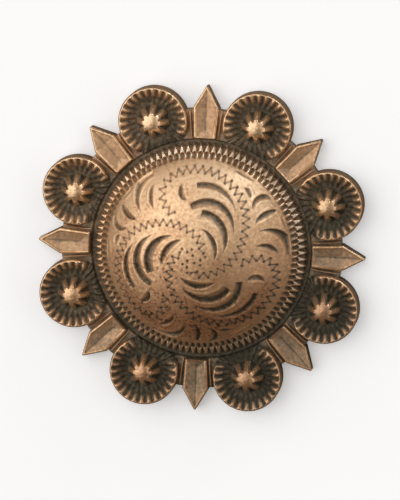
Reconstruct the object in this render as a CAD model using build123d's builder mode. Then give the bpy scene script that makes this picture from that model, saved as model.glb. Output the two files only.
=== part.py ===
from build123d import *
import math
import os

os.makedirs("parts", exist_ok=True)

# Concho, face up on its back plane: +Z out of the face, +Y towards a leaf. Millimetres.

# Outline of the casting, read from the photo at 38.1 mm across the berries
berry_count = 8
berry_ring_r = 15.2          # centres of the berries
berry_disc_r = 3.85
first_berry_deg = 22.5
web_r = 15.7                 # bottom of the notch between berry and leaf
leaf_root_r = 11.0
leaf_root_half = 1.1
leaf_shoulder_r = 15.8
leaf_shoulder_half = 1.45
leaf_tip_r = 18.4
leaf_tip_round = 0.22

# Heights above the back plane
web_t = 1.3
leaf_t = 2.0
berry_rim_t = 2.45
dish_floor_t = 1.45
foot_ring_t = 2.4
dome_top = 8.4

# Dome
dome_foot_r = 12.0
cap_r = 10.6
wall = 1.2
foot_groove_r = 12.5
foot_groove_depth = 0.3
hollow_r = 10.4

# Ribs round the foot of the dome: an inner row, and an outer row half a pitch on
rib_count = 100
rib_gap_w = 0.30
inner_row_r = 10.5
inner_row_end_r = 11.02
inner_row_floor_t = 1.95
outer_row_r = 11.1

# Berry cup
rim_round = 0.55
dish_r = 3.1
bead_foot_r = 1.9
bead_shoulder_t = 2.0
bead_knob_r = 0.95
bead_knob_t = 3.25
bead_top_t = 3.7
notch_count = 26
notch_w = 0.36
notch_depth = 0.42
notch_inner_r = 2.35
notch_outer_r = 3.62
petal_count = 8
petal_gap_w = 0.42
petal_gap_depth = 0.3
petal_gap_run = 1.25
step_over = 0.5

# Leaf valley and the raised line along each side of a leaf
valley_half = 0.9
valley_depth = 0.42
valley_root_r = foot_groove_r + 0.6
valley_wide_r = leaf_shoulder_r - 0.8
valley_tip_r = leaf_tip_r - 0.9
line_w = 0.24
line_t = 1.75
line_root_half = 1.45
line_end_half = 1.8
line_root_r = 12.2
line_end_r = 15.55

# Whirl of gouged crescents on the dome; a row is one crescent, repeated three times.
# Radii are shares of whirl_r, angles are degrees, bow, width and butt are shares too.
whirl_r = 10.8
whirl_turn = 22.5
whirl_repeats = 3
gouge_depth = 0.32
head_r, head_deg, tail_r, tail_deg, bow, width, butt = range(7)
crescents = {
    "inner_one": (0.333, 55.4, 0.224, -25.4, 0.063, 0.065, 0.0),
    "inner_two": (0.466, 55.5, 0.304, -12.1, 0.110, 0.084, 0.090),
    "inner_three": (0.532, 70.1, 0.462, 8.5, 0.164, 0.072, 0.074),
    "inner_four": (0.728, 67.1, 0.631, 26.9, 0.090, 0.052, 0.056),
    "comma": (0.753, 80.0, 0.589, 76.4, -0.036, 0.064, 0.0),
    "outer_long": (0.940, 100.7, 0.691, 121.9, -0.106, 0.062, 0.058),
    "outer_mate": (0.846, 101.2, 0.637, 110.5, -0.036, 0.048, 0.0),
    "outer_spur": (0.910, 129.0, 0.700, 128.5, -0.024, 0.062, 0.040),
    "outer_nick": (0.940, 125.2, 0.940, 115.7, 0.012, 0.036, 0.0),
    "outer_hook": (0.935, 135.0, 0.760, 138.0, -0.088, 0.056, 0.0),
    "outer_bow": (0.850, 155.0, 0.810, 146.0, 0.016, 0.038, 0.0),
    "outer_edge": (0.930, 166.0, 0.940, 152.0, 0.018, 0.040, 0.0),
}

# Boss under the dome, its socket, and the tapped post seated in it
boss_r = 3.2
boss_bottom = 0.5
socket_top = 5.6
post_r = 2.4
post_clear = 0.05
post_bottom = 0.3
post_top = socket_top - post_clear
socket_r = post_r + post_clear
thread_bore_r = 1.75
thread_length = 4.6


def sphere_r(rim, rise):
    """Radius of the ball whose cap has this rim radius and this rise."""
    return (rim * rim + rise * rise) / (2 * rise)


def cap_point(rim, foot, top, share):
    """A point part way up a cap, by the share of the angle from the top."""
    ball = sphere_r(rim, top - foot)
    angle = math.asin(rim / ball) * share
    return (ball * math.sin(angle), top - ball + ball * math.cos(angle))


def polar(radius, degrees):
    angle = math.radians(degrees)
    return Vector(radius * math.cos(angle), radius * math.sin(angle))


def crescent_sides(row, turn):
    """Head corners, tail and the two mid points of one crescent, in plan."""
    head = polar(row[head_r] * whirl_r, row[head_deg] + turn)
    tail = polar(row[tail_r] * whirl_r, row[tail_deg] + turn)
    along = (tail - head).normalized()
    across = Vector(-along.Y, along.X)
    side = 1 if row[bow] >= 0 else -1
    middle = (head + tail) / 2
    half_width = side * row[width] * whirl_r / 2
    outer = middle + across * (row[bow] * whirl_r + half_width)
    inner = middle + across * (row[bow] * whirl_r - half_width)
    sweep = 2 * math.atan2(row[bow] * whirl_r, (tail - head).length / 2)
    start = Vector(along.X * math.cos(sweep) - along.Y * math.sin(sweep),
                   along.X * math.sin(sweep) + along.Y * math.cos(sweep))
    square = Vector(-start.Y, start.X) * side * row[butt] * whirl_r / 2
    return head + square, head - square, tail, outer, inner


# One-piece casting: hollow dome, web, eight berries and eight leaves
outer_high = cap_point(cap_r, foot_ring_t, dome_top, 0.5)
bead_high = cap_point(bead_knob_r, bead_knob_t, bead_top_t, 0.5)
cavity_top = dome_top - wall
inner_mid = cap_point(hollow_r, 0, cavity_top, 0.5)
gouge_floor_r = sphere_r(cap_r, dome_top - foot_ring_t) - gouge_depth
gouge_floor_centre = dome_top - sphere_r(cap_r, dome_top - foot_ring_t)

with BuildPart() as gouges:
    with BuildSketch(Plane.XY.offset(foot_ring_t - gouge_depth)):
        for row in crescents.values():
            for repeat in range(whirl_repeats):
                turn = whirl_turn + repeat * 360 / whirl_repeats
                left, right, tail, outer, inner = crescent_sides(row, turn)
                with BuildLine():
                    ThreePointArc(left, outer, tail)
                    ThreePointArc(tail, inner, right)
                    if row[butt] > 0:
                        Line(right, left)
                make_face()
    extrude(amount=dome_top)
    with Locations((0, 0, gouge_floor_centre)):
        Sphere(gouge_floor_r, mode=Mode.SUBTRACT)

with BuildPart() as berry:
    with BuildSketch(Plane.XZ):
        with BuildLine():
            Line((0, 0), (berry_disc_r, 0))
            Line((berry_disc_r, 0), (berry_disc_r, berry_rim_t - rim_round))
            ThreePointArc((berry_disc_r, berry_rim_t - rim_round),
                          (berry_disc_r - rim_round * 0.3, berry_rim_t - rim_round * 0.3),
                          (berry_disc_r - rim_round, berry_rim_t))
            Line((berry_disc_r - rim_round, berry_rim_t), (dish_r, berry_rim_t - rim_round * 0.4))
            Line((dish_r, berry_rim_t - rim_round * 0.4), (bead_foot_r, dish_floor_t))
            Line((bead_foot_r, dish_floor_t), (bead_foot_r, bead_shoulder_t))
            Line((bead_foot_r, bead_shoulder_t), (bead_knob_r, bead_knob_t))
            ThreePointArc((bead_knob_r, bead_knob_t), bead_high, (0, bead_top_t))
            Line((0, bead_top_t), (0, 0))
        make_face()
    revolve(axis=Axis.Z)
    with BuildSketch(Plane.XY.offset(berry_rim_t - notch_depth)):
        with PolarLocations((notch_inner_r + notch_outer_r) / 2, notch_count):
            Rectangle(notch_outer_r - notch_inner_r, notch_w)
    extrude(amount=step_over + notch_depth, mode=Mode.SUBTRACT)
    flank_slope = math.degrees(math.atan2(bead_knob_t - bead_shoulder_t, bead_foot_r - bead_knob_r))
    flank_mid_t = (bead_knob_t + bead_shoulder_t) / 2
    with PolarLocations((bead_foot_r + bead_knob_r) / 2, petal_count):
        with Locations(Location((0, 0, flank_mid_t), (0, flank_slope, 0))):
            Box(petal_gap_run, petal_gap_w, 2 * petal_gap_depth, mode=Mode.SUBTRACT)
    with Locations((-berry_ring_r, 0, web_t - foot_groove_depth)):
        Cylinder(foot_groove_r, dome_top, mode=Mode.SUBTRACT,
                 align=(Align.CENTER, Align.CENTER, Align.MIN))

# A four-sided pyramid, let into the leaf's face
with BuildPart() as valley:
    with BuildSketch(Plane.XY.offset(leaf_t)) as valley_rim:
        with BuildLine():
            Polyline((valley_root_r, 0), (valley_wide_r, valley_half), (valley_tip_r, 0),
                     (valley_wide_r, -valley_half), close=True)
        make_face()
    valley_floor = Vertex(valley_wide_r, 0, leaf_t - valley_depth)
    loft([valley_rim.sketch.face(), valley_floor])

with BuildPart() as leaf:
    with BuildSketch(Plane.XY):
        with BuildLine():
            Polyline((leaf_root_r, -leaf_root_half), (leaf_shoulder_r, -leaf_shoulder_half),
                     (leaf_tip_r, 0), (leaf_shoulder_r, leaf_shoulder_half),
                     (leaf_root_r, leaf_root_half), close=True)
        make_face()
    extrude(amount=leaf_t)
    tip_edges = leaf.edges().filter_by(Axis.Z).sort_by(Axis.X)[-1:]
    fillet(tip_edges, leaf_tip_round)
    add(valley.part, mode=Mode.SUBTRACT)
    for side in (1, -1):
        with BuildSketch(Plane.XY):
            with BuildLine():
                Polyline((line_root_r, side * (line_root_half - line_w / 2)),
                         (line_end_r, side * (line_end_half - line_w / 2)),
                         (line_end_r, side * (line_end_half + line_w / 2)),
                         (line_root_r, side * (line_root_half + line_w / 2)), close=True)
            make_face()
        extrude(amount=line_t)
    with Locations((0, 0, web_t - foot_groove_depth)):
        Cylinder(foot_groove_r, dome_top, mode=Mode.SUBTRACT,
                 align=(Align.CENTER, Align.CENTER, Align.MIN))

with BuildPart() as dome:
    with BuildSketch(Plane.XZ):
        with BuildLine():
            Line((0, 0), (dome_foot_r, 0))
            Line((dome_foot_r, 0), (dome_foot_r, web_t))
            Line((dome_foot_r, web_t), (cap_r, foot_ring_t))
            ThreePointArc((cap_r, foot_ring_t), outer_high, (0, dome_top))
            Line((0, dome_top), (0, 0))
        make_face()
    revolve(axis=Axis.Z)
    with BuildSketch(Plane.XZ):
        with BuildLine():
            Line((0, 0), (hollow_r, 0))
            ThreePointArc((hollow_r, 0), inner_mid, (0, cavity_top))
            Line((0, cavity_top), (0, 0))
        make_face()
    revolve(axis=Axis.Z, mode=Mode.SUBTRACT)
    with BuildSketch(Plane.XY.offset(boss_bottom)):
        Circle(boss_r)
    extrude(amount=cavity_top - boss_bottom)
    with BuildSketch(Plane.XY):
        Circle(socket_r)
    extrude(amount=socket_top, mode=Mode.SUBTRACT)
    with BuildSketch(Plane.XY.offset(inner_row_floor_t)):
        with PolarLocations((inner_row_r + inner_row_end_r) / 2, rib_count):
            Rectangle(inner_row_end_r - inner_row_r, rib_gap_w)
    extrude(amount=dome_top, mode=Mode.SUBTRACT)
    with BuildSketch(Plane.XY.offset(web_t)):
        with PolarLocations((outer_row_r + foot_groove_r) / 2, rib_count, start_angle=180 / rib_count):
            Rectangle(foot_groove_r - outer_row_r, rib_gap_w)
    extrude(amount=dome_top, mode=Mode.SUBTRACT)
    add(gouges.part, mode=Mode.SUBTRACT)

with BuildPart() as cast_face:
    with BuildSketch(Plane.XY):
        Circle(web_r)
        Circle(dome_foot_r - web_t, mode=Mode.SUBTRACT)
    extrude(amount=web_t)
    with BuildSketch(Plane.XY.offset(web_t - foot_groove_depth)):
        Circle(foot_groove_r)
    extrude(amount=dome_top, mode=Mode.SUBTRACT)
    with PolarLocations(berry_ring_r, berry_count, start_angle=first_berry_deg):
        add(berry.part)
    with PolarLocations(0, berry_count):
        add(leaf.part)
    add(dome.part)
cast_face.part.label = "cast_face"

# Plain tapped post seated in the boss
with BuildPart() as threaded_post:
    with BuildSketch(Plane.XY.offset(post_bottom)):
        Circle(post_r)
    extrude(amount=post_top - post_bottom)
    with BuildSketch(Plane.XY.offset(post_bottom)):
        Circle(thread_bore_r)
    extrude(amount=thread_length, mode=Mode.SUBTRACT)
threaded_post.part.label = "threaded_post"

export_step(cast_face.part, "parts/cast_face.step")
export_step(threaded_post.part, "parts/threaded_post.step")
for built in (cast_face.part, threaded_post.part):
    box = built.bounding_box()
    print(built.label, len(built.solids()), round(built.volume, 1), box.min, box.max)
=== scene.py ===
"""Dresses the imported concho: a cast face of dome, berries and leaves, in antique copper."""

import math

import bpy
import numpy as np
from mathutils import Matrix, Vector


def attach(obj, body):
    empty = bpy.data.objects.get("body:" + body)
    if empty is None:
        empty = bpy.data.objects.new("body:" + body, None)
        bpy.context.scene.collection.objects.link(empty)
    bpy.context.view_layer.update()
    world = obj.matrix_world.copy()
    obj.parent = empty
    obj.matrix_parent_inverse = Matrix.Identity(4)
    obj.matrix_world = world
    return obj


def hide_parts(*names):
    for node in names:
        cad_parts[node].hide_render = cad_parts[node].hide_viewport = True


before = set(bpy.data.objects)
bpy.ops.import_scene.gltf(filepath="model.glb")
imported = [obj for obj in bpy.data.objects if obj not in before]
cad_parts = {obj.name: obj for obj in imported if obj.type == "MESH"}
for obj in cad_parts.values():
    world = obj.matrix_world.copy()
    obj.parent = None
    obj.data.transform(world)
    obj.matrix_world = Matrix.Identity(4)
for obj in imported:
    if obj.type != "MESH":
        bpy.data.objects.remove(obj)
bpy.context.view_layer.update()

# Lengths are in millimetres until make_piece turns them into metres. A name that ends in _R is a
# distance from an axis, one in _T a height over the floor, and one in _BAND holds the two values
# between which a soft step runs. A shade is how dark a recess is stained, and a rub takes it off.
# On the ribs' lower side, a shade is painted shade.
MM = 0.001
FULL_TURN = 2 * math.pi
SHARP_FROM_DEG = 50
TINY = 1e-9

# Main sizes of the casting, the same as in the solid's source
BERRY_COUNT = 8
BERRY_RING_R = 15.2
BERRY_DISC_R = 3.85
FIRST_BERRY_DEG = 22.5
FIRST_LEAF_DEG = 0
WEB_R = 15.7
WEB_T = 1.3
LEAF_SHOULDER_R = 15.8
LEAF_SHOULDER_HALF = 1.45
LEAF_TIP_R = 18.4
LEAF_T = 2.0
RIM_T = 2.45
DISH_FLOOR_T = 1.45
BEAD_TOP_T = 3.7
FOOT_RING_T = 2.4
DOME_TOP = 8.4
DOME_FOOT_R = 12.0
CAP_R = 10.6
WALL = 1.2
GROOVE_R = 12.5
GROOVE_T = 1.0
HOLLOW_R = 10.4
BOSS_R = 3.2
BOSS_BOTTOM = 0.5
SOCKET_TOP = 5.6
RIB_COUNT = 100
NOTCH_COUNT = 26
PETAL_COUNT = 8

# Cups and leaves stay this much over the web
OVER_WEB = 0.04

# The dome and the hollow under it are parts of two balls
CAP_BALL_R = (CAP_R ** 2 + (DOME_TOP - FOOT_RING_T) ** 2) / (2 * (DOME_TOP - FOOT_RING_T))
CAP_BALL_Z = DOME_TOP - CAP_BALL_R
HOLLOW_TOP = DOME_TOP - WALL
HOLLOW_BALL_R = (HOLLOW_R ** 2 + HOLLOW_TOP ** 2) / (2 * HOLLOW_TOP)
HOLLOW_BALL_Z = HOLLOW_TOP - HOLLOW_BALL_R

# The whirl on the dome: one third of it, repeated. Each crescent has the radius and the angle of
# its head, those of its tail, its bow, its width and the width of its square butt. Angles are
# degrees, the rest are shares of WHIRL_R.
WHIRL_R = 10.8
WHIRL_TURN = 22.5
WHIRL_REPEATS = 3
CRESCENTS = {
    "inner_one": (0.333, 55.4, 0.224, -25.4, 0.063, 0.065, 0.0),
    "inner_two": (0.466, 55.5, 0.304, -12.1, 0.110, 0.084, 0.090),
    "inner_three": (0.532, 70.1, 0.462, 8.5, 0.164, 0.072, 0.074),
    "inner_four": (0.728, 67.1, 0.631, 26.9, 0.090, 0.052, 0.056),
    "comma": (0.753, 80.0, 0.589, 76.4, -0.036, 0.064, 0.0),
    "outer_long": (0.940, 100.7, 0.691, 121.9, -0.106, 0.062, 0.058),
    "outer_mate": (0.846, 101.2, 0.637, 110.5, -0.036, 0.048, 0.0),
    "outer_spur": (0.910, 129.0, 0.700, 128.5, -0.024, 0.062, 0.040),
    "outer_nick": (0.940, 125.2, 0.940, 115.7, 0.012, 0.036, 0.0),
    "outer_hook": (0.935, 135.0, 0.760, 138.0, -0.088, 0.056, 0.0),
    "outer_bow": (0.850, 155.0, 0.810, 146.0, 0.016, 0.038, 0.0),
    "outer_edge": (0.930, 166.0, 0.940, 152.0, 0.018, 0.040, 0.0),
}
GOUGE_DEPTH = 0.42
GOUGE_DEPTH_PER_WIDTH = 0.6
GOUGE_WALL = 0.13
GOUGE_RISE = 0.8
GOUGE_THINNEST = 1e-6
GOUGE_MARGIN = 0.4
GOUGE_SHADE = 0.70
GOUGE_SHADE_FALL = 0.30
GOUGE_SHADE_START_BAND = (-0.03, 0.09)
GOUGE_SHADE_END_BAND = (0.5, 1.05)
BUTT_BACK = 0.35
BUTT_WALL = 0.14
BUTT_SHADE_BAND = (-0.02, 0.06)

# The low lip that the gouge pushed up along a crescent, where no other cut takes it away
LIP_WIDTH = 0.34
LIP_RISE_BAND = (0, 0.4 * LIP_WIDTH)
LIP_FALL_BAND = (0.5 * LIP_WIDTH, LIP_WIDTH)
LIP_HEAD_BAND = (0.0, 0.15)
LIP_TAIL_BAND = (0.75, 1.0)
LIP_HEIGHT = 0.035
LIP_RUB = 0.08
LIP_SHADE_LIMIT = 0.02

# The wriggle line runs between two rows about this centreline: share of WHIRL_R, degrees
WRIGGLE_LINE = [
    (0.12, 17), (0.17, 33), (0.22, 52), (0.265, 68), (0.32, 81), (0.37, 92), (0.42, 101),
    (0.47, 109), (0.515, 116.5), (0.565, 123.5), (0.61, 130), (0.66, 136.5), (0.70, 142),
    (0.735, 148), (0.765, 154), (0.795, 160), (0.82, 166), (0.84, 171), (0.855, 176.5),
    (0.865, 182), (0.87, 187.5), (0.872, 193), (0.868, 198.5), (0.855, 204), (0.83, 209),
    (0.80, 213.5), (0.75, 217), (0.69, 219), (0.63, 219.5), (0.56, 218.5), (0.50, 215),
    (0.455, 212),
]
WRIGGLE_CURVE_STEPS = 8
WRIGGLE_PITCH = 0.0805
WRIGGLE_ROW_GAP = 0.053
CENTRE_PUNCHES = [(0.105, 68), (0.09, 98), (0.145, 112), (0.045, 52)]
PUNCH_R = 0.18
PUNCH_DEPTH = 0.12
PUNCH_SHADE = 0.65
PUNCH_SHADE_BAND = (0.5 * PUNCH_R, 1.2 * PUNCH_R)
STROKE_HALF = 0.08
STROKE_WALL = 1.5 * STROKE_HALF
STROKE_DEPTH = 0.045
STROKE_SHADE = 0.4
STROKE_SHADE_BAND = (0.6 * STROKE_HALF, 1.9 * STROKE_HALF)
STROKE_MARGIN = 1.2

# The crown ends where the ribbed foot begins, and its relief fades out just before
CROWN_R = 10.3
CROWN_GRID = 290
CROWN_FADE_BAND = (CROWN_R - 0.25, CROWN_R)
CROWN_RUB = 0.04
CROWN_RUB_BAND = (8.0, CROWN_R)
CROWN_RUB_SHADE_LIMIT = 0.1
HOLLOW_EDGE_R = 9.6
HOLLOW_STEPS = 7
SOCKET_R = 2.45
HOLLOW_SHADE = 0.75

# Ribs round the dome's foot: crest line of radius and height, then the gaps between
FOOT_LINE = [
    (10.3, 2.866), (10.4, 2.73), (10.5, 2.60), (10.62, 2.48), (10.76, 2.37), (10.92, 2.27),
    (11.05, 2.20), (11.12, 2.13), (11.26, 2.06), (11.42, 1.98), (11.58, 1.90), (11.72, 1.81),
    (11.86, 1.71), (11.97, 1.58), (12.03, 1.38), (12.05, 0.9),
]
FOOT_BOTTOM_T = 0.03
FOOT_LOW_BAND = (1.65, 1.2)
FOOT_HOLLOW_STEPS = 4
FOOT_HOLLOW_SHADE = 0.65
RIB_STEPS = 8
RIB_START_R = 10.3
RIB_START_BAND = (RIB_START_R, RIB_START_R + 0.35)
RIB_ROW_SPLIT_R = 11.08
RIB_DEPTH = 0.36
RIB_RUB = 0.18
RIB_SHADE_OUTWARD = 0.22
RIB_SHADE_LOW = 0.12
GAP_NARROW = 0.5
GAP_WIDE = 1.3
GAP_SHADE = 0.54

# Painted shade darkens the ribs on the lower side and dulls their polish there, and a painted
# highlight of pale metal lies on the ribs of the upper side. These bands are cosines of the angle
# from the middle of such a side.
LOWER_SIDE_DEG = -88
LOWER_SIDE_BAND = (-0.2, 0.9)
LOWER_SIDE_PAINTED_SHADE = 0.15
LOWER_SIDE_DULLING = 0.7
UPPER_SIDE_DEG = 58
UPPER_SIDE_BAND = (-0.3, 0.8)

# Berry, from the middle outwards: a bead whose rays taper, then a cup of ribs between wide
# notches. Runs of rings of points have their first radius, last radius and count, and the lines
# have radius and height.
BEAD_R = 1.88
BEAD_TIP_T = BEAD_TOP_T - 0.02
BERRY_RINGS = [
    (0.06, BEAD_R - 0.02, 24),
    (BEAD_R + 0.06, BERRY_DISC_R - 0.55, 12),
    (BERRY_DISC_R - 0.46, BERRY_DISC_R, 8),
]
BEAD_LINE = [
    (0, 3.7), (0.45, 3.64), (0.8, 3.5), (1.0, 3.35), (1.2, 3.08), (1.4, 2.76), (1.6, 2.42),
    (1.78, 2.02), (BEAD_R, 1.45),
]
CUP_LINE = [
    (BEAD_R, DISH_FLOOR_T - 0.1), (BEAD_R + 0.25, DISH_FLOOR_T - 0.02), (3.1, RIM_T - 0.28),
    (3.35, RIM_T - 0.06), (3.6, RIM_T), (3.76, RIM_T - 0.12), (BERRY_DISC_R, RIM_T - 0.42),
]
BERRY_WALL_LINE = [(BERRY_DISC_R, 0.9), (BERRY_DISC_R, 0.12), (BERRY_DISC_R - 0.12, 0.0)]
PETAL_DEPTH = 0.85
PETAL_NARROW = 0.42
PETAL_WIDE = 1.1
PETAL_WIDTH_BAND = (0.75, BEAD_R)
PETAL_START_BAND = (0.75, 1.25)
PETAL_END_BAND = (BEAD_R, BEAD_R + 0.15)
NOTCH_STEPS = 10
NOTCH_DEPTH = 0.38
NOTCH_WIDE = 1.25
NOTCH_NARROW = 0.95
NOTCH_WIDTH_BAND = (2.4, 3.4)
NOTCH_START_BAND = (BEAD_R, 2.9)
NOTCH_END_BAND = (3.48, 3.70)

# The cup is open towards the dome, where it runs down into the groove. These two bands are
# distances from the concho's axis.
OPEN_SIDE_BAND = (12.6, 13.7)
OPEN_SIDE_T = DISH_FLOOR_T + 0.25
SUNK_BAND = (GROOVE_R - 0.35, GROOVE_R - 0.1)
SUNK_T = GROOVE_T - 0.15

# How dark the berry's parts are stained, and how bright its high places are rubbed. These bands are
# radii, but the flutes' one is a share of their depth.
CUP_SHADE = 0.60
CUP_SHADE_BAND = (2.4, 3.2)
CUP_FLANK_SHADE = 0.24
CUP_FLANK_BAND = (3.0, 3.5)
CUP_RUB = 0.14
NOTCH_SHADE = 0.76
FLUTE_SHADE = 0.95
FLUTE_SHADE_BAND = (0.3, 0.8)
BEAD_RUB = 0.12
BEAD_FOOT_SHADE = 0.72
BEAD_FOOT_START_BAND = (BEAD_R - 0.12, BEAD_R)
BEAD_FOOT_END_BAND = (2.6, 3.2)
BEAD_TIP_SHADE = 0.1
BEAD_POLISH_BAND = (BEAD_R - 0.2, BEAD_R)
RIM_POLISH = 0.8
RIM_POLISH_BAND = (3.2, 3.6)
OPEN_SIDE_SHADE = 0.75
WALL_SHADE = 0.5
BERRY_BOTTOM_SHADE = 0.6

# Leaf: half widths across, a border, and two faces that fall to the vein down the middle
LEAF_ROOT_R = 12.3
LEAF_ROOT_HALF = 1.19
LEAF_END_R = LEAF_TIP_R - 0.16
LEAF_TIP_ROUND = 0.23
LEAF_THINNEST = 0.03
LEAF_STATIONS = 96
LEAF_LANES = 33
LEAF_SLOPE = 0.5
LEAF_BORDER = 0.30
LEAF_STEP = 0.12
LEAF_STEP_BAND = (LEAF_BORDER - 0.04, LEAF_BORDER + 0.06)
LEAF_FALL = 0.46
LEAF_FALL_OVER = 1.1
LEAF_EDGE_ROUND = 0.14
LEAF_ROOT_DROP = 0.4
LEAF_ROOT_DROP_BAND = (LEAF_ROOT_R, LEAF_ROOT_R + 0.25)
LEAF_WALL_HEIGHTS = [1.2, 0.12, 0.03]
LEAF_TIPWARD_BAND = (LEAF_SHOULDER_R - 0.5, LEAF_TIP_R - 0.6)
LEAF_FACE_SHADE = 0.36
LEAF_FACE_TIP_RUB = 0.10
LEAF_BORDER_TIP_RUB = 0.08
LEAF_RUB = 0.10
LEAF_ROOT_SHADE = 0.7
LEAF_ROOT_SHADE_BAND = (LEAF_ROOT_R, LEAF_ROOT_R + 0.3)
LEAF_POLISH = 0.8
VEIN_SHADE = 0.26
VEIN_BAND = (0.02, 0.16)
VEIN_START_BAND = (0, 1.2)

# The raised line along each side of a leaf. Its shades go once round it, from one foot over the
# crest to the other, and the two lower corners come last.
LINE_ROOT_R = 12.35
LINE_END_R = 15.55
LINE_ROOT_HALF = 1.45
LINE_END_HALF = 1.8
LINE_HALF_W = 0.13
LINE_TOP_T = 1.78
LINE_BOTTOM_T = 0.9
LINE_STATIONS = 14
LINE_ROOT_RISE = 0.2
LINE_END_RISE = 0.35
LINE_RISE_RATE = 4
LINE_SHADES = [0.7, 0.4, 0.2, 0.2, 0.2, 0.2, 0.2, 0.4, 0.7, 0.8, 0.8]

# Web: radius, height and shade, from the groove outwards, over the edge and back along the bottom
WEB_LINE = [
    (DOME_FOOT_R - 0.4, GROOVE_T, 0.68), (GROOVE_R - 0.28, GROOVE_T, 0.66),
    (GROOVE_R - 0.08, WEB_T, 0.5), (14.0, WEB_T, 0.56), (WEB_R - 0.12, WEB_T, 0.45),
    (WEB_R, WEB_T - 0.12, 0.4), (WEB_R, 0.12, 0.5), (WEB_R - 0.12, 0.02, 0.6),
    (14.0, 0.02, 0.6), (DOME_FOOT_R - 0.4, 0.02, 0.8),
]
WEB_SEGMENTS = 400

# Antique copper. Each noise has its scale per metre, its detail and its roughness. Colours are the
# numbers that a picture editor shows. The stain runs from 0 on rubbed metal to 1 in the blackest
# recess. The rust tint also warms the painted shade, and where the ribs' polish passes 1, pale
# metal shows as a painted highlight.
BLOTCH = (230, 3, 0.6)
SPECK = (2500, 3, 0.65)
GRAIN = (4200, 3, 0.6)
PITS = (3000, 2, 0.5)
PIT_FROM = 0.54
PIT_CONTRAST = 9.0
NOISE_MIDDLE = 0.5
EVEN_STAIN = 0.18
RECESS_STAIN = 0.95
BLOTCH_STAIN = 0.30
SPECK_STAIN = 0.90
PIT_STAIN = 0.62
COPPER_STOPS = [
    (0.0, (240, 206, 168)), (0.18, (214, 176, 138)), (0.36, (192, 156, 124)),
    (0.58, (150, 130, 108)), (0.8, (104, 95, 79)), (1.0, (72, 69, 58)),
]
RUST_AND_SHADE_TINT = (222, 184, 160)
RUST_SPECKLED = 0.5
RUST_PITS = 0.9
RUST_SHADE_WARMTH = 0.45
PALE_HIGHLIGHT_METAL = (208, 203, 190)
PALE_HIGHLIGHT_FROM = 1.0
PALE_HIGHLIGHT_SHARE = 0.62
COPPER_ROUGH, ROUGH_STAIN, ROUGH_GRAIN, ROUGH_POLISH = 0.46, 0.14, 0.2, 0.32
COPPER_METAL, METAL_STAIN, METAL_POLISH = 0.88, 0.3, 0.05
COPPER_BUMP, COPPER_BUMP_DEPTH, BUMP_SPECK = 0.6, 0.00005, 0.8

# Painted shade darkens the colour towards the lower right and lightens it towards the upper left,
# more so on the dome, where it is also painted warmer, and the casting is speckled towards another
# side. Both change by so much for each metre. A place counts as on the dome from 2.5 mm up, and
# fully so from 5 mm.
PAINTED_SHADE_WAY = (0.5, -0.87, 0.0)
PAINTED_SHADE_PER_M = 8.0
PAINTED_SHADE_ON_DOME_PER_M = 14.0
SHADE_WARMTH_SHARE = 5.0
DOME_LIFT_WAY = (0.0, 0.0, 400.0)
DOME_LIFT_START = 1.0
SPECKLED_WAY = (-0.4, -0.92, 0.0)
SPECKLED_PER_M = 45.0
SPECKLED_BLOTCH = 2.0
SPECKLED_BLOTCH_FROM = 0.4

# Turned brass of the hidden post
BRASS_LIGHT = (196, 164, 96)
BRASS_DARK = (140, 110, 62)
BRASS_CLOUD_SCALE = 700.0
BRASS_RING_SCALE = 900.0
BRASS_RING_WANDER = 1.5
BRASS_ROUGH, BRASS_ROUGH_CLOUD = 0.32, 0.2
BRASS_BUMP, BRASS_BUMP_DEPTH = 0.15, 0.00004

# Floor: what the camera sees of it, and the dim colour that the copper mirrors
FLOOR_HALF = 0.6
FLOOR_PALE = (0.86, 0.895, 0.96, 1.0)
FLOOR_ROUGH = 0.9
FLOOR_GLOW_COLOUR = (1.0, 1.0, 1.0, 1.0)
FLOOR_GLOW = 0.27
FLOOR_DIM = (0.16, 0.13, 0.10, 1.0)

# The soft surround: an even glow, then a broad main one from the upper left, a low fill from the
# right and two narrow low glints from above. Each has how it joins, its azimuth and elevation, the
# cosines where it starts and is full, and its light.
EVEN_GLOW = (0.17, 0.135, 0.09, 1.0)
GLOWS = [
    ("MIX", (158, 38), (0.3, 0.97), (1.47, 1.41, 1.33, 1.0)),
    ("ADD", (16, 3), (0.3, 1.0), (0.85, 0.85, 0.85, 1.0)),
    ("ADD", (62, 0), (0.93, 1.0), (5.2, 5.8, 6.4, 1.0)),
    ("ADD", (100, 4), (0.96, 1.0), (1.3, 1.35, 1.4, 1.0)),
]

# The photo looks down from the north-east side, about 13 degrees off the concho's axis
CAMERA_AZIMUTH = 53
CAMERA_ELEVATION = 77
CAMERA_AWAY = 0.45
CAMERA_AIM = (0, 0, 0.002)
CAMERA_SENSOR = 36
CAMERA_NEAR = 0.01
UP_LEAN_DEG = 2.2
OBJECT_SPAN = 0.0381
FRAME_SHARE = 0.86
PICTURE_W, PICTURE_H = 400, 500


def smooth(low, high, value):
    """0 before low, 1 past high and a soft step between them."""
    share = np.clip((value - low) / (high - low), 0, 1)
    return share * share * (3 - 2 * share)


def polar(radius, degrees):
    """A point in plan from its radius and angle."""
    angle = math.radians(degrees)
    return np.array([radius * math.cos(angle), radius * math.sin(angle)])


def left_of(way):
    """A direction in plan, turned a quarter to the left."""
    return np.array([-way[1], way[0]])


def distance(points, spot):
    """Distance of each point in plan from one spot."""
    return np.hypot(*(points - spot).T)


def circle_through(a, b, c):
    """Centre and radius of the circle through three points in plan."""
    rows = np.array([b - a, c - a]) * 2
    sums = np.array([b @ b - a @ a, c @ c - a @ a])
    centre = np.linalg.solve(rows, sums)
    return centre, float(np.hypot(*(a - centre)))


def from_gaps(angles, count, phase=0.5):
    """0 in each gap round the turn, 1 half-way between two. Phase 0.5 puts a gap at angle 0."""
    return np.abs(2 * ((angles / FULL_TURN * count + phase) % 1) - 1)


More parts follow.
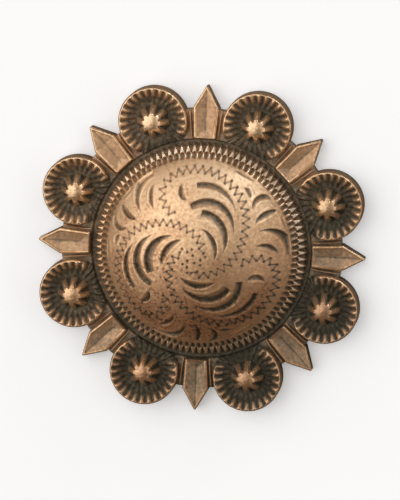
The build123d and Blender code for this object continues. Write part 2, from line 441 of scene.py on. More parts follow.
def crescent_relief(row, turn, points):
    """Depth, shade and lip of a crescent: steep along its outer side, rising to its inner side."""
    head_r, head_deg, tail_r, tail_deg = row[:4]
    bow, width, butt = (share * WHIRL_R for share in row[4:])
    head = polar(head_r * WHIRL_R, head_deg + turn)
    tail = polar(tail_r * WHIRL_R, tail_deg + turn)
    chord = np.hypot(*(tail - head))
    along = (tail - head) / chord
    across = left_of(along)
    side = 1 if bow >= 0 else -1
    middle = (head + tail) / 2
    outer_mid = middle + across * (bow + side * width / 2)
    inner_mid = middle + across * (bow - side * width / 2)

    sweep = 2 * math.atan2(bow, chord / 2)
    start = along * math.cos(sweep) + across * math.sin(sweep)
    square = left_of(start) * side * butt / 2
    outer_centre, outer_r = circle_through(head + square, outer_mid, tail)
    inner_centre, inner_r = circle_through(head - square, inner_mid, tail)
    from_outer = outer_r - distance(points, outer_centre)
    from_inner = distance(points, inner_centre) - inner_r
    inner_chord_mid = (head - square + tail) / 2
    if (inner_mid - inner_chord_mid) @ across * side < 0:
        from_inner = -from_inner

    here_wide = np.maximum(from_outer + from_inner, GOUGE_THINNEST)
    share = np.clip(from_outer / here_wide, 0, 1)
    deepest = np.minimum(GOUGE_DEPTH, GOUGE_DEPTH_PER_WIDTH * here_wide)
    cut = smooth(0, GOUGE_WALL, from_outer) * (1 - share) ** GOUGE_RISE
    shade = smooth(*GOUGE_SHADE_START_BAND, from_outer) * (GOUGE_SHADE - GOUGE_SHADE_FALL * share)
    shade = shade * (1 - smooth(*GOUGE_SHADE_END_BAND, share))
    outside = np.maximum(-from_outer, -from_inner)
    if butt > 0:
        from_butt = (points - head) @ start + butt * BUTT_BACK
        outside = np.maximum(outside, -from_butt)
        cut = cut * smooth(0, BUTT_WALL, from_butt)
        shade = shade * smooth(*BUTT_SHADE_BAND, from_butt)

    near = distance(points, middle) < chord / 2 + abs(bow) + GOUGE_MARGIN
    inside = near & (outside < 0)
    run = ((points - head) @ along) / chord
    lip = smooth(*LIP_RISE_BAND, outside) * (1 - smooth(*LIP_FALL_BAND, outside))
    lip = lip * smooth(*LIP_HEAD_BAND, run) * (1 - smooth(*LIP_TAIL_BAND, run))
    return np.where(inside, deepest * cut, 0), np.where(inside, shade, 0), np.where(near, lip, 0)


def wriggle_points(turn):
    """Corners of the wriggle line, from side to side of its centreline."""
    knots = [polar(share * WHIRL_R, degrees + turn) for share, degrees in WRIGGLE_LINE]
    knots = [2 * knots[0] - knots[1]] + knots + [2 * knots[-1] - knots[-2]]
    path = []
    for before, start, end, after in zip(knots, knots[1:], knots[2:], knots[3:]):
        for share in np.linspace(0, 1, WRIGGLE_CURVE_STEPS, endpoint=False):
            path.append(0.5 * (2 * start + (end - before) * share
                               + (2 * before - 5 * start + 4 * end - after) * share ** 2
                               + (3 * start - before - 3 * end + after) * share ** 3))
    path = np.array(path)
    steps = np.hypot(*np.diff(path, axis=0).T)
    run = np.concatenate([[0], np.cumsum(steps)])
    places = np.arange(0, run[-1], WRIGGLE_PITCH * WHIRL_R / 2)
    centre = np.column_stack([np.interp(places, run, path[:, axis]) for axis in (0, 1)])
    ahead = np.gradient(centre, axis=0)
    ahead /= np.hypot(*ahead.T)[:, None]
    offset = np.where(np.arange(len(places)) % 2, 1, -1) * WRIGGLE_ROW_GAP * WHIRL_R / 2
    return centre + left_of(ahead.T).T * offset[:, None]


def stroke_relief(points, start, end):
    """Depth and shade of one fine stroke between two corners, which may be the same one."""
    run = end - start + TINY
    share = np.clip(((points - start) @ run) / (run @ run), 0, 1)
    away = np.hypot(*(points - start - share[:, None] * run).T)
    return (STROKE_DEPTH * (1 - smooth(0, STROKE_WALL, away)),
            STROKE_SHADE * (1 - smooth(*STROKE_SHADE_BAND, away)))


def punch_relief(points, spot):
    """Depth and shade of one punched dot."""
    away = distance(points, spot)
    return (PUNCH_DEPTH * (1 - smooth(0, PUNCH_R, away)),
            PUNCH_SHADE * (1 - smooth(*PUNCH_SHADE_BAND, away)))


def dome_relief(points):
    """Depth and shade of everything cut into the dome, at points in plan."""
    depth, shade, lips = np.zeros((3, len(points)))

    def deepen(where, relief):
        for store, values in zip((depth, shade), relief):
            store[where] = np.maximum(store[where], values)

    for repeat in range(WHIRL_REPEATS):
        turn = WHIRL_TURN + repeat * 360 / WHIRL_REPEATS
        for row in CRESCENTS.values():
            *relief, lip = crescent_relief(row, turn, points)
            deepen(slice(None), relief)
            lips = np.maximum(lips, lip)
        corners = list(wriggle_points(turn))
        for start, end in zip(corners, corners[1:] + corners[-1:]):
            near = distance(points, start) < STROKE_MARGIN
            deepen(near, stroke_relief(points[near], start, end))
            deepen(near, punch_relief(points[near], start))
        for share, degrees in CENTRE_PUNCHES:
            deepen(slice(None), punch_relief(points, polar(share * WHIRL_R, degrees + turn)))
    lips = lips * ((shade <= LIP_SHADE_LIMIT) & (depth <= 0))
    return depth - LIP_HEIGHT * lips, shade - LIP_RUB * lips


def make_piece(name, points, faces, recess, polish=None):
    """A smooth-shaded mesh object from points in millimetres, with its recess and polish."""
    mesh = bpy.data.meshes.new(name)
    corners = [list(map(int, face)) for face in faces]
    mesh.from_pydata((np.asarray(points) * MM).tolist(), [], corners)
    polish = np.zeros(len(points)) if polish is None else polish
    for label, values in (("recess", recess), ("polish", polish)):
        store = mesh.attributes.new(label, "FLOAT", "POINT")
        store.data.foreach_set("value", np.asarray(values, dtype=np.float32))
    mesh.polygons.foreach_set("use_smooth", np.ones(len(mesh.polygons), dtype=bool))
    mesh.set_sharp_from_angle(angle=math.radians(SHARP_FROM_DEG))
    mesh.update()
    piece = bpy.data.objects.new(name, mesh)
    bpy.context.scene.collection.objects.link(piece)
    return piece


def turned_rings(line, angles, axis_x=0.0):
    """Rings of points, one for each radius and height of a line, round an upright axis."""
    rings = [[(axis_x + r * math.cos(a), r * math.sin(a), z) for a in angles] for r, z in line]
    return np.array(rings).reshape(-1, 3)


def ring_faces(rings, segments, first=0):
    """Quads between successive rings of points, outward for rings that run down and out."""
    ring = np.arange(rings - 1)[:, None] * segments + first
    here = np.arange(segments)[None, :]
    after = (here + 1) % segments
    quads = [ring + here, ring + segments + here, ring + segments + after, ring + after]
    return list(np.stack(quads, -1).reshape(-1, 4))


def closing_faces(rings, segments):
    """Quads from the last ring of points back to the first."""
    here = np.arange(segments)
    after = (here + 1) % segments
    last = (rings - 1) * segments
    return list(np.stack([last + here, here, after, last + after], -1))


def hollow_line(from_r, to_r, steps):
    """Radius and height along the inside of the dome, between two radii."""
    leans = np.linspace(math.asin(from_r / HOLLOW_BALL_R), math.asin(to_r / HOLLOW_BALL_R), steps)
    return [(HOLLOW_BALL_R * math.sin(lean), HOLLOW_BALL_Z + HOLLOW_BALL_R * math.cos(lean))
            for lean in leans]


def make_crown():
    """The engraved dome, its hollow and the boss in it, closed along a cone inside the metal."""
    side = np.linspace(-1, 1, CROWN_GRID)
    across, up = np.meshgrid(side, side)
    wide = np.abs(across) >= np.abs(up)
    sideways = np.where(across >= 0, 0, math.pi)
    upwards = np.where(up >= 0, math.pi / 2, -math.pi / 2)
    slant_up = up / np.where(across == 0, 1, across)
    slant_back = -across / np.where(up == 0, 1, up)
    slant = np.where(wide, slant_up, slant_back)
    angle = (np.where(wide, sideways, upwards) + slant * math.pi / 4).ravel()
    lean = np.maximum(np.abs(across), np.abs(up)).ravel() * math.asin(CROWN_R / CAP_BALL_R)
    ways = np.column_stack([np.cos(angle), np.sin(angle)])
    out_r = CAP_BALL_R * np.sin(lean)

    depth, shade = dome_relief(out_r[:, None] * ways)
    hold = 1 - smooth(*CROWN_FADE_BAND, out_r)
    ball = CAP_BALL_R - depth * hold
    skin_plan = (ball * np.sin(lean))[:, None] * ways
    skin = np.column_stack([skin_plan, CAP_BALL_Z + ball * np.cos(lean)])
    shade = shade * hold
    rubbed = shade - CROWN_RUB * smooth(*CROWN_RUB_BAND, out_r)
    shade = np.where(shade > CROWN_RUB_SHADE_LIMIT, shade, rubbed)

    grid = np.arange(CROWN_GRID ** 2).reshape(CROWN_GRID, CROWN_GRID)
    quads = [grid[:-1, :-1], grid[:-1, 1:], grid[1:, 1:], grid[1:, :-1]]
    faces = list(np.stack(quads, -1).reshape(-1, 4))
    edge = np.concatenate([grid[0, :-1], grid[:-1, -1], grid[-1, :0:-1], grid[:0:-1, 0]])
    inside = hollow_line(HOLLOW_EDGE_R, BOSS_R, HOLLOW_STEPS)
    inside += [(BOSS_R, BOSS_BOTTOM), (SOCKET_R, BOSS_BOTTOM), (SOCKET_R, SOCKET_TOP)]
    points = np.vstack([skin, turned_rings(inside, angle[edge]), [[0, 0, SOCKET_TOP]]])
    first, segments = len(skin), len(edge)
    here = np.arange(segments)
    after = (here + 1) % segments
    faces += list(np.stack([edge, first + here, first + after, edge[after]], -1))
    faces += ring_faces(len(inside), segments, first)
    last = first + (len(inside) - 1) * segments
    faces += [(last + k, len(points) - 1, last + (k + 1) % segments) for k in range(segments)]
    hidden = np.full(len(points) - first, HOLLOW_SHADE)
    return make_piece("crown", points, faces, np.concatenate([shade, hidden]))


def make_foot():
    """Two rows of tapering ribs round the dome, half a pitch apart, and the wall under them."""
    segments = RIB_COUNT * RIB_STEPS
    angles = np.arange(segments) / segments * FULL_TURN
    from_gap = from_gaps(angles, RIB_COUNT, phase=0.0)
    # Painted shade on the ribs' lower side, and a painted highlight on their upper side
    lower_side_shade = smooth(*LOWER_SIDE_BAND, np.cos(angles - math.radians(LOWER_SIDE_DEG)))
    upper_side_highlight = smooth(*UPPER_SIDE_BAND, np.cos(angles - math.radians(UPPER_SIDE_DEG)))
    line = np.array(FOOT_LINE)
    lean = np.gradient(line, axis=0)
    lean /= np.hypot(*lean.T)[:, None]
    rings, shade, polish = [], [], []
    for (radius, height), (run_r, run_z) in zip(line, lean):
        if radius < RIB_ROW_SPLIT_R:
            row, from_row_gap = (RIB_START_R, RIB_ROW_SPLIT_R), from_gap
        else:
            row, from_row_gap = (RIB_ROW_SPLIT_R, DOME_FOOT_R), 1 - from_gap
        gap = 1 - smooth(0, np.interp(radius, row, (GAP_NARROW, GAP_WIDE)), from_row_gap)
        begun = smooth(*RIB_START_BAND, radius)
        cut = RIB_DEPTH * gap * begun
        out_r, out_z = radius + cut * run_z, height - cut * run_r
        rings.append(np.column_stack([out_r * np.cos(angles), out_r * np.sin(angles), out_z]))
        low = smooth(*FOOT_LOW_BAND, height)
        outward = smooth(RIB_START_R, DOME_FOOT_R, radius)
        crest = RIB_SHADE_OUTWARD * outward - RIB_RUB + RIB_SHADE_LOW * low
        dark = np.maximum(GAP_SHADE * gap * begun, crest)
        # painted shade on the lower side is added to the stained recesses
        shade.append(dark + LOWER_SIDE_PAINTED_SHADE * begun * lower_side_shade)
        # polish passes 1 on the upper side, which the copper turns into a painted highlight
        rubbed = 1 - LOWER_SIDE_DULLING * lower_side_shade + upper_side_highlight
        polish.append(begun * (1 - gap) * (1 - low) * rubbed)
    inside = [(DOME_FOOT_R, FOOT_BOTTOM_T)]
    inside += hollow_line(HOLLOW_R, HOLLOW_EDGE_R, FOOT_HOLLOW_STEPS)
    rings.append(turned_rings(inside, angles))
    shade.append(np.full(len(inside) * segments, FOOT_HOLLOW_SHADE))
    polish.append(np.zeros(len(inside) * segments))
    count = len(line) + len(inside)
    faces = ring_faces(count, segments) + closing_faces(count, segments)
    recess, polish = np.concatenate(shade), np.concatenate(polish)
    return make_piece("foot", np.vstack(rings), faces, recess, polish)


def make_berry():
    """One ribbed cup with its fluted bead, at its place on the +X side."""
    segments = NOTCH_COUNT * NOTCH_STEPS
    angles = np.arange(segments) / segments * FULL_TURN
    radii = np.concatenate([np.linspace(*run) for run in BERRY_RINGS])
    rad, ang = np.meshgrid(radii, angles, indexing="ij")
    place_x = BERRY_RING_R + rad * np.cos(ang)
    place_y = rad * np.sin(ang)
    from_axis = np.hypot(place_x, place_y)
    open_side = 1 - smooth(*OPEN_SIDE_BAND, from_axis)
    sunk = 1 - smooth(*SUNK_BAND, from_axis)

    petal_w = PETAL_NARROW + (PETAL_WIDE - PETAL_NARROW) * smooth(*PETAL_WIDTH_BAND, rad)
    petal_cut = 1 - smooth(0, petal_w, from_gaps(ang, PETAL_COUNT))
    petal_cut *= smooth(*PETAL_START_BAND, rad) * (1 - smooth(*PETAL_END_BAND, rad))
    notch_w = NOTCH_WIDE + (NOTCH_NARROW - NOTCH_WIDE) * smooth(*NOTCH_WIDTH_BAND, rad)
    notch_cut = 1 - smooth(0, notch_w, from_gaps(ang, NOTCH_COUNT))
    notch_cut *= smooth(*NOTCH_START_BAND, rad)
    notch_cut *= np.maximum(1 - smooth(*NOTCH_END_BAND, rad), open_side)

    bead = np.interp(rad, *np.transpose(BEAD_LINE))
    cup = np.interp(rad, *np.transpose(CUP_LINE))
    high = np.where(rad < BEAD_R, bead, cup)
    high = high * (1 - open_side) + np.minimum(high, OPEN_SIDE_T) * open_side
    high = np.maximum(high - PETAL_DEPTH * petal_cut - NOTCH_DEPTH * notch_cut, WEB_T + OVER_WEB)
    high = high * (1 - sunk) + np.minimum(high, SUNK_T) * sunk

    bead_shade = FLUTE_SHADE * smooth(*FLUTE_SHADE_BAND, petal_cut) - BEAD_RUB
    cup_shade = CUP_SHADE * (1 - smooth(*CUP_SHADE_BAND, rad)) - CUP_RUB
    cup_shade += CUP_FLANK_SHADE * (1 - smooth(*CUP_FLANK_BAND, rad))
    cup_shade = np.maximum(notch_cut * NOTCH_SHADE, cup_shade)
    bead_foot = smooth(*BEAD_FOOT_START_BAND, rad) * (1 - smooth(*BEAD_FOOT_END_BAND, rad))
    recess = np.maximum(np.where(rad < BEAD_R, bead_shade, cup_shade), BEAD_FOOT_SHADE * bead_foot)
    recess = np.maximum(recess, OPEN_SIDE_SHADE * open_side)
    polish = (1 - smooth(*BEAD_POLISH_BAND, rad)) * (1 - petal_cut)
    polish += RIM_POLISH * smooth(*RIM_POLISH_BAND, rad)

    top = np.column_stack([place_x.ravel(), place_y.ravel(), high.ravel()])
    wall = turned_rings(BERRY_WALL_LINE, angles, BERRY_RING_R)
    middles = [[BERRY_RING_R, 0, BEAD_TIP_T], [BERRY_RING_R, 0, 0]]
    points = np.vstack([top, wall, middles])
    middle_shades = [BEAD_TIP_SHADE, BERRY_BOTTOM_SHADE]
    recess = np.concatenate([recess.ravel(), np.full(len(wall), WALL_SHADE), middle_shades])
    polish = np.concatenate([polish.ravel(), np.zeros(len(wall)), [1.0, 0.0]])
    rings = len(radii) + len(BERRY_WALL_LINE)
    faces = ring_faces(rings, segments)
    tip, bottom = len(points) - 2, len(points) - 1
    last = (rings - 1) * segments
    for k in range(segments):
        after = (k + 1) % segments
        faces.append((tip, k, after))
        faces.append((last + k, bottom, last + after))
    return make_piece("berry_one", points, faces, recess, polish)


def leaf_half(x):
    """Half width of a leaf at a distance from the concho's axis."""
    body = np.interp(x, [LEAF_ROOT_R, LEAF_SHOULDER_R], [LEAF_ROOT_HALF, LEAF_SHOULDER_HALF])
    point = (LEAF_TIP_R - x) * LEAF_SHOULDER_HALF / (LEAF_TIP_R - LEAF_SHOULDER_R)
    end = LEAF_TIP_R - LEAF_TIP_ROUND
    from_nose = x - end + LEAF_TIP_ROUND / 2
    nose = np.sqrt(np.clip(LEAF_TIP_ROUND ** 2 - from_nose ** 2, 0, None))
    tip = np.minimum(point, np.where(x > end, nose, point))
    return np.where(x < LEAF_SHOULDER_R, body, tip)


def make_leaf():
    """One leaf on the +X side: a thin border round two faces that fall to a crease between them."""
    stations = np.linspace(LEAF_ROOT_R, LEAF_END_R, LEAF_STATIONS)
    along, share = np.meshgrid(stations, np.linspace(-1, 1, LEAF_LANES), indexing="ij")
    half = np.maximum(leaf_half(along), LEAF_THINNEST)
    y = share * half
    edge = np.minimum(half - np.abs(y), along - LEAF_ROOT_R)
    step = smooth(*LEAF_STEP_BAND, edge)
    fall = np.clip((edge - LEAF_BORDER) / LEAF_FALL_OVER, 0, 1)
    slope = LEAF_SLOPE * (along - LEAF_ROOT_R) / (LEAF_TIP_R - LEAF_ROOT_R)
    deepest = np.minimum(LEAF_FALL, LEAF_T - slope - LEAF_STEP - WEB_T - OVER_WEB)
    high = LEAF_T - slope - LEAF_STEP * step - deepest * fall
    high -= LEAF_EDGE_ROUND * (1 - smooth(0, LEAF_EDGE_ROUND, edge))
    high -= LEAF_ROOT_DROP * (1 - smooth(*LEAF_ROOT_DROP_BAND, along))

    tipward = smooth(*LEAF_TIPWARD_BAND, along)
    vein = (1 - smooth(*VEIN_BAND, np.abs(y))) * step
    vein *= smooth(*VEIN_START_BAND, along - LEAF_ROOT_R)
    recess = LEAF_FACE_SHADE * step + VEIN_SHADE * vein - LEAF_RUB
    recess -= tipward * (LEAF_BORDER_TIP_RUB * (1 - step) + LEAF_FACE_TIP_RUB * step)
    recess = np.maximum(recess, LEAF_ROOT_SHADE * (1 - smooth(*LEAF_ROOT_SHADE_BAND, along)))

    top = np.column_stack([along.ravel(), y.ravel(), high.ravel()])
    grid = np.arange(len(top)).reshape(along.shape)
    quads = [grid[:-1, :-1], grid[1:, :-1], grid[1:, 1:], grid[:-1, 1:]]
    faces = list(np.stack(quads, -1).reshape(-1, 4))
    edge_ids = np.concatenate([grid[:-1, 0], grid[-1, :-1], grid[:0:-1, -1], grid[0, :0:-1]])
    points, previous = top, edge_ids
    for height in LEAF_WALL_HEIGHTS:
        ring = np.column_stack([top[edge_ids, :2], np.full(len(edge_ids), height)])
        ids = len(points) + np.arange(len(ring))
        points = np.vstack([points, ring])
        faces += list(np.stack([previous, ids, np.roll(ids, -1), np.roll(previous, -1)], -1))
        previous = ids
    faces.append(previous[::-1])
    wall_count = len(points) - len(top)
    recess = np.concatenate([recess.ravel(), np.full(wall_count, WALL_SHADE)])
    polish = np.concatenate([LEAF_POLISH * (1 - step).ravel(), np.zeros(wall_count)])
    return make_piece("leaf_one", points, faces, recess, polish)


def make_side_line():
    """The raised lines on both sides of one leaf, each a low rounded ridge."""
    count = len(LINE_SHADES)
    arc = np.linspace(0, math.pi, count - 2)
    points, faces = [], []
    for side in (1, -1):
        first = len(points)
        for share in np.linspace(0, 1, LINE_STATIONS):
            x = LINE_ROOT_R + (LINE_END_R - LINE_ROOT_R) * share
            centre = side * (LINE_ROOT_HALF + (LINE_END_HALF - LINE_ROOT_HALF) * share)
            rise = min(1, LINE_ROOT_RISE + LINE_RISE_RATE * share,
                       LINE_END_RISE + LINE_RISE_RATE * (1 - share)) * (LINE_TOP_T - WEB_T)
            points += [(x, centre + LINE_HALF_W * math.cos(a) * side, WEB_T + rise * math.sin(a))
                       for a in arc]
            points += [(x, centre - LINE_HALF_W * side, LINE_BOTTOM_T),
                       (x, centre + LINE_HALF_W * side, LINE_BOTTOM_T)]
        ids = first + np.arange(LINE_STATIONS * count)
        loops = ids.reshape(LINE_STATIONS, count).tolist()
        made = []
        for here, ahead in zip(loops, loops[1:]):
            made += zip(here, here[1:] + here[:1], ahead[1:] + ahead[:1], ahead)
        made += [loops[0][::-1], loops[-1]]
        faces += made if side > 0 else [face[::-1] for face in made]
    return make_piece("side_line_one", points, faces, LINE_SHADES * (2 * LINE_STATIONS))


def make_web():
    """The flat ring between the dome's foot and the notches, with the groove round the foot."""
    angles = np.arange(WEB_SEGMENTS) / WEB_SEGMENTS * FULL_TURN
    points = turned_rings([(radius, height) for radius, height, _ in WEB_LINE], angles)
    recess = np.repeat([shade for _, _, shade in WEB_LINE], WEB_SEGMENTS)
    faces = ring_faces(len(WEB_LINE), WEB_SEGMENTS) + closing_faces(len(WEB_LINE), WEB_SEGMENTS)
    return make_piece("web", points, faces, recess)


class Value:
    """A shader or field socket that takes part in Python arithmetic and adds its own Math nodes."""

    def __init__(self, tree, socket):
        self.tree, self.socket = tree, socket

    def maths(self, operation, first, second):
        return self.tree.node("ShaderNodeMath", {"operation": operation}, {0: first, 1: second})

    def __add__(self, other):
        return self.maths("ADD", self, other)

    def __sub__(self, other):
        return self.maths("SUBTRACT", self, other)

    def __rsub__(self, other):
        return self.maths("SUBTRACT", other, self)

    def __mul__(self, other):
        return self.maths("MULTIPLY", self, other)

    def __truediv__(self, other):
        return self.maths("DIVIDE", self, other)

    def __rtruediv__(self, other):
        return self.maths("DIVIDE", other, self)

    def clamp(self):
        floored = self.maths("MAXIMUM", self, 0.0)
        return self.maths("MINIMUM", floored, 1.0)

    __radd__ = __add__
    __rmul__ = __mul__


class Tree:
    """Makes nodes in one node tree."""

    def __init__(self, nodes):
        self.nodes = nodes

    def node(self, kind, settings=None, inputs=None, output=0):
        """A node with its settings made first, then its sockets' values or links."""
        made = self.nodes.nodes.new(kind)
        for name, value in (settings or {}).items():
            if name == "stops":
                ramp = made.color_ramp
                while len(ramp.elements) < len(value):
                    ramp.elements.new(0.5)
                for element, (place, tint) in zip(ramp.elements, value):
                    element.position = place
                    element.color = tint
            else:
                setattr(made, name, value)
        for name, value in (inputs or {}).items():
            self.feed(made.inputs[name], value)
        return Value(self, made.outputs[output])

    def feed(self, socket, value):
        if isinstance(value, Value):
            self.nodes.links.new(value.socket, socket)
        else:
            socket.default_value = value

    def mix(self, share, first, second, blend="MIX"):
        """Mixes two colours, by the Mix node's colour sockets."""
        settings = {"data_type": "RGBA", "blend_type": blend}
        return self.node("ShaderNodeMix", settings, {0: share, 6: first, 7: second}, output=2)

    def towards(self, place, way):
        """How far a place or direction goes along a way."""
        settings = {"operation": "DOT_PRODUCT"}
        return self.node("ShaderNodeVectorMath", settings, {0: place, 1: way}, output="Value")


def colour(red, green, blue):
    """A linear colour from the numbers a picture editor shows."""
    parts = [channel / 255 for channel in (red, green, blue)]
    linear = [p / 12.92 if p <= 0.04045 else ((p + 0.055) / 1.055) ** 2.4 for p in parts]
    return (*linear, 1.0)


def new_material(name):
    """An empty node material and its tree."""
    material = bpy.data.materials.new(name)
    material.use_nodes = True
    nodes = material.node_tree
    nodes.nodes.clear()
    return material, Tree(nodes)


def finish_material(tree, surface):
    """Leads a shader to the material's output."""
    output = tree.nodes.nodes.new("ShaderNodeOutputMaterial")
    tree.feed(output.inputs["Surface"], surface)


def antique_copper():
    """Copper plate over a fine cast grain, rubbed bright where high and black in the recesses."""
    material, tree = new_material("antique_copper")
    place = tree.node("ShaderNodeTexCoord", output="Object")
    # the recess attribute also carries the painted shade of the ribs' lower side
    recess = tree.node("ShaderNodeAttribute", {"attribute_name": "recess"}, output="Fac")
    rubbed = tree.node("ShaderNodeAttribute", {"attribute_name": "polish"}, output="Fac")
    polish = rubbed.clamp()

    def noise(scale, detail, rough):
        sockets = {"Vector": place, "Scale": scale, "Detail": detail, "Roughness": rough}
        return tree.node("ShaderNodeTexNoise", {}, sockets)

    blotch = noise(*BLOTCH)
    speck = noise(*SPECK)
    grain = noise(*GRAIN)
    pits = ((noise(*PITS) - PIT_FROM) * PIT_CONTRAST).clamp()

    lifted = (tree.towards(place, DOME_LIFT_WAY) - DOME_LIFT_START).clamp()
    # painted shade: darker towards the lower right, lighter towards the upper left, more on the
    # dome
    painted_shading = tree.towards(place, PAINTED_SHADE_WAY) * (PAINTED_SHADE_PER_M + lifted * PAINTED_SHADE_ON_DOME_PER_M)
    # painted shade is warmer on the dome's shaded side
    shade_warmth = (painted_shading * lifted * SHADE_WARMTH_SHARE).clamp()
    speckled = (tree.towards(place, SPECKLED_WAY) * SPECKLED_PER_M
                + (blotch - SPECKLED_BLOTCH_FROM) * SPECKLED_BLOTCH).clamp() * lifted
    # the stain also takes in the painted shade
    stain_and_shade = (recess * RECESS_STAIN + (blotch - NOISE_MIDDLE) * BLOTCH_STAIN
             + (speck - NOISE_MIDDLE) * SPECK_STAIN + painted_shading + pits * speckled * PIT_STAIN
             + EVEN_STAIN).clamp()
    stops = [(share, colour(*tint)) for share, tint in COPPER_STOPS]
    tint = tree.node("ShaderNodeValToRGB", {"stops": stops}, {0: stain_and_shade})
    # the rust tint also gives the painted shade its warmth
    rust_and_shade_warmth = (speckled * RUST_SPECKLED + pits * speckled * RUST_PITS + shade_warmth * RUST_SHADE_WARMTH).clamp()
    rusty_and_shaded = tree.mix(rust_and_shade_warmth, tint, colour(*RUST_AND_SHADE_TINT), "MULTIPLY")
    # painted highlight: pale metal where the ribs' polish passes 1, on their upper side
    painted_highlight = ((rubbed - PALE_HIGHLIGHT_FROM) * PALE_HIGHLIGHT_SHARE).clamp()
    shown = tree.mix(painted_highlight, rusty_and_shaded, colour(*PALE_HIGHLIGHT_METAL))
    rough = (COPPER_ROUGH + stain_and_shade * ROUGH_STAIN + (grain - NOISE_MIDDLE) * ROUGH_GRAIN
             - polish * ROUGH_POLISH).clamp()
    metal = (COPPER_METAL - stain_and_shade * METAL_STAIN - polish * METAL_POLISH).clamp()
    bump = tree.node("ShaderNodeBump", {}, {
        "Strength": COPPER_BUMP, "Distance": COPPER_BUMP_DEPTH,
        "Height": grain + speck * BUMP_SPECK})
    shader = tree.node("ShaderNodeBsdfPrincipled", {}, {
        "Base Color": shown, "Roughness": rough, "Metallic": metal, "Normal": bump})
    finish_material(tree, shader)
    return material


def plain_brass():
    """Turned brass, a little dull, with faint turning rings."""
    material, tree = new_material("plain_brass")
    place = tree.node("ShaderNodeTexCoord", output="Object")
    cloud = tree.node("ShaderNodeTexNoise", {}, {
        "Vector": place, "Scale": BRASS_CLOUD_SCALE, "Detail": 3.0})
    rings = tree.node("ShaderNodeTexWave", {"wave_type": "RINGS", "rings_direction": "Z"}, {
        "Vector": place, "Scale": BRASS_RING_SCALE, "Distortion": BRASS_RING_WANDER})
    tint = tree.mix(cloud, colour(*BRASS_LIGHT), colour(*BRASS_DARK))
    bump = tree.node("ShaderNodeBump", {}, {
        "Strength": BRASS_BUMP, "Distance": BRASS_BUMP_DEPTH, "Height": rings})
    rough = BRASS_ROUGH + cloud * BRASS_ROUGH_CLOUD
    shader = tree.node("ShaderNodeBsdfPrincipled", {}, {
        "Base Color": tint, "Roughness": rough, "Metallic": 1.0, "Normal": bump})
    finish_material(tree, shader)
    return material


def plain_floor():
    """A pale floor, which the copper mirrors only dimly."""
    material, tree = new_material("pale_floor")
    pale = tree.node("ShaderNodeBsdfPrincipled", {}, {
        "Base Color": FLOOR_PALE, "Roughness": FLOOR_ROUGH,
        "Emission Color": FLOOR_GLOW_COLOUR, "Emission Strength": FLOOR_GLOW})
    dim = tree.node("ShaderNodeBsdfDiffuse", {}, {"Color": FLOOR_DIM})
    seen = tree.node("ShaderNodeLightPath", output="Is Camera Ray")
    finish_material(tree, tree.node("ShaderNodeMixShader", {}, {0: seen, 1: dim, 2: pale}))
    return material


def set_round_tree():
    """Geometry Nodes: copies a piece round the concho's axis, made real, with its material."""
    group = bpy.data.node_groups.new("set_round", "GeometryNodeTree")
    for name, kind in (("Piece", "NodeSocketObject"), ("Count", "NodeSocketInt"),
                       ("First angle", "NodeSocketFloat"), ("Material", "NodeSocketMaterial")):
        group.interface.new_socket(name, in_out="INPUT", socket_type=kind)
    group.interface.new_socket("Geometry", in_out="OUTPUT", socket_type="NodeSocketGeometry")
    tree = Tree(group)
    given = group.nodes.new("NodeGroupInput")

    def sized(name):
        return Value(tree, given.outputs[name])

    piece = tree.node("GeometryNodeObjectInfo", {}, {"Object": sized("Piece")}, output="Geometry")
    spots = tree.node("GeometryNodePoints", {}, {"Count": sized("Count")})
    index = tree.node("GeometryNodeInputIndex")
    turn = sized("First angle") + index * FULL_TURN / sized("Count")
    rotation = tree.node("ShaderNodeCombineXYZ", {}, {"Z": turn})
    copies = tree.node("GeometryNodeInstanceOnPoints", {}, {
        "Points": spots, "Instance": piece, "Rotation": rotation})
    real = tree.node("GeometryNodeRealizeInstances", {}, {0: copies})
    dressed = tree.node("GeometryNodeSetMaterial", {}, {
        "Geometry": real, "Material": sized("Material")})
    output = group.nodes.new("NodeGroupOutput")
    tree.feed(output.inputs[0], dressed)
    return group


def set_round(name, group, piece, first_deg, material):
    """Sets round as many copies as there are berries, as a plain mesh, and drops the single one."""
    holder = bpy.data.objects.new(name, bpy.data.meshes.new(name))
    bpy.context.scene.collection.objects.link(holder)
    modifier = holder.modifiers.new("set_round", "NODES")
    modifier.node_group = group
    values = {"Piece": piece, "Count": BERRY_COUNT, "First angle": math.radians(first_deg),
              "Material": material}
    for item in group.interface.items_tree:
        if item.in_out == "INPUT":
            modifier[item.identifier] = values[item.name]
    graph = bpy.context.evaluated_depsgraph_get()
    mesh = bpy.data.meshes.new_from_object(holder.evaluated_get(graph), depsgraph=graph)
    holder.modifiers.remove(modifier)
    holder.data = mesh
    bpy.data.objects.remove(piece)
    return holder


def make_floor():
    """A plain square floor under the concho."""
    mesh = bpy.data.meshes.new("floor")
    corners = [(x * FLOOR_HALF, y * FLOOR_HALF, 0) for x, y in ((-1, -1), (1, -1), (1, 1), (-1, 1))]
    mesh.from_pydata(corners, [], [(0, 1, 2, 3)])
    mesh.materials.append(plain_floor())
    made = bpy.data.objects.new("floor", mesh)
    bpy.context.scene.collection.objects.link(made)
    return made


def way_to(azimuth, elevation):
    """Unit vector to an azimuth (from +X towards +Y) and an elevation, in degrees."""
    a, e = math.radians(azimuth), math.radians(elevation)
    return Vector((math.cos(a) * math.cos(e), math.sin(a) * math.cos(e), math.sin(e)))


def soft_light(name, azimuth, elevation, away, size, power):
    """An area light that looks at the concho."""
    place = way_to(azimuth, elevation) * away
    data = bpy.data.lights.new(name, "AREA")
    data.size = size
    data.energy = power
    light = bpy.data.objects.new(name, data)
    turn = (-place).to_track_quat("-Z", "Y").to_matrix().to_4x4()
    light.matrix_world = Matrix.Translation(place) @ turn
    bpy.context.scene.collection.objects.link(light)


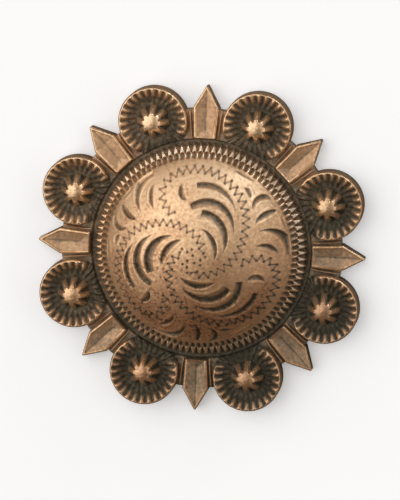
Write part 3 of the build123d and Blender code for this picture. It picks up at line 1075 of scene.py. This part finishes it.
def studio_world():
    """The soft surround: bright towards the upper left of the picture, with low glints."""
    world = bpy.data.worlds.new("studio")
    world.use_nodes = True
    world.node_tree.nodes.clear()
    tree = Tree(world.node_tree)
    direction = tree.node("ShaderNodeTexCoord", output="Generated")
    surround = EVEN_GLOW
    for join, way, (low, full), light in GLOWS:
        share = tree.node("ShaderNodeMapRange", {"interpolation_type": "SMOOTHSTEP"}, {
            "Value": tree.towards(direction, way_to(*way)), "From Min": low, "From Max": full,
            "To Min": 0.0, "To Max": 1.0})
        surround = tree.mix(share, surround, light, join)
    background = tree.node("ShaderNodeBackground", {}, {"Color": surround})
    output = world.node_tree.nodes.new("ShaderNodeOutputWorld")
    tree.feed(output.inputs["Surface"], background)
    bpy.context.scene.world = world


def place_camera():
    """A camera at the photo's angle, in which the object takes up FRAME_SHARE of the width."""
    up = way_to(90 + UP_LEAN_DEG, 0)
    back = way_to(CAMERA_AZIMUTH, CAMERA_ELEVATION)
    right = up.cross(back).normalized()
    upright = back.cross(right)
    data = bpy.data.cameras.new("camera")
    data.sensor_width = CAMERA_SENSOR
    half_span = OBJECT_SPAN / FRAME_SHARE / 2 * PICTURE_H / PICTURE_W
    data.lens = data.sensor_width / 2 * CAMERA_AWAY / half_span
    data.clip_start = CAMERA_NEAR
    camera = bpy.data.objects.new("camera", data)
    turn = Matrix((right, upright, back)).transposed().to_4x4()
    camera.matrix_world = Matrix.Translation(Vector(CAMERA_AIM) + back * CAMERA_AWAY) @ turn
    bpy.context.scene.collection.objects.link(camera)
    bpy.context.scene.camera = camera


copper = antique_copper()
brass = plain_brass()
round_tree = set_round_tree()

crown = make_crown()
foot = make_foot()
web = make_web()
for plain in (crown, foot, web):
    plain.data.materials.append(copper)
berries = set_round("berries", round_tree, make_berry(), FIRST_BERRY_DEG, copper)
leaves = set_round("leaves", round_tree, make_leaf(), FIRST_LEAF_DEG, copper)
side_lines = set_round("side_lines", round_tree, make_side_line(), FIRST_LEAF_DEG, copper)

for piece in (crown, foot, web, berries, leaves, side_lines):
    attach(piece, "root")
    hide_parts("cast_face")

for slot_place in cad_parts["threaded_post"].material_slots:
    slot_place.material = brass

floor = make_floor()

soft_light("key", azimuth=140, elevation=42, away=0.5, size=0.6, power=0.12)
studio_world()
bpy.context.scene.view_settings.view_transform = "Standard"
place_camera()
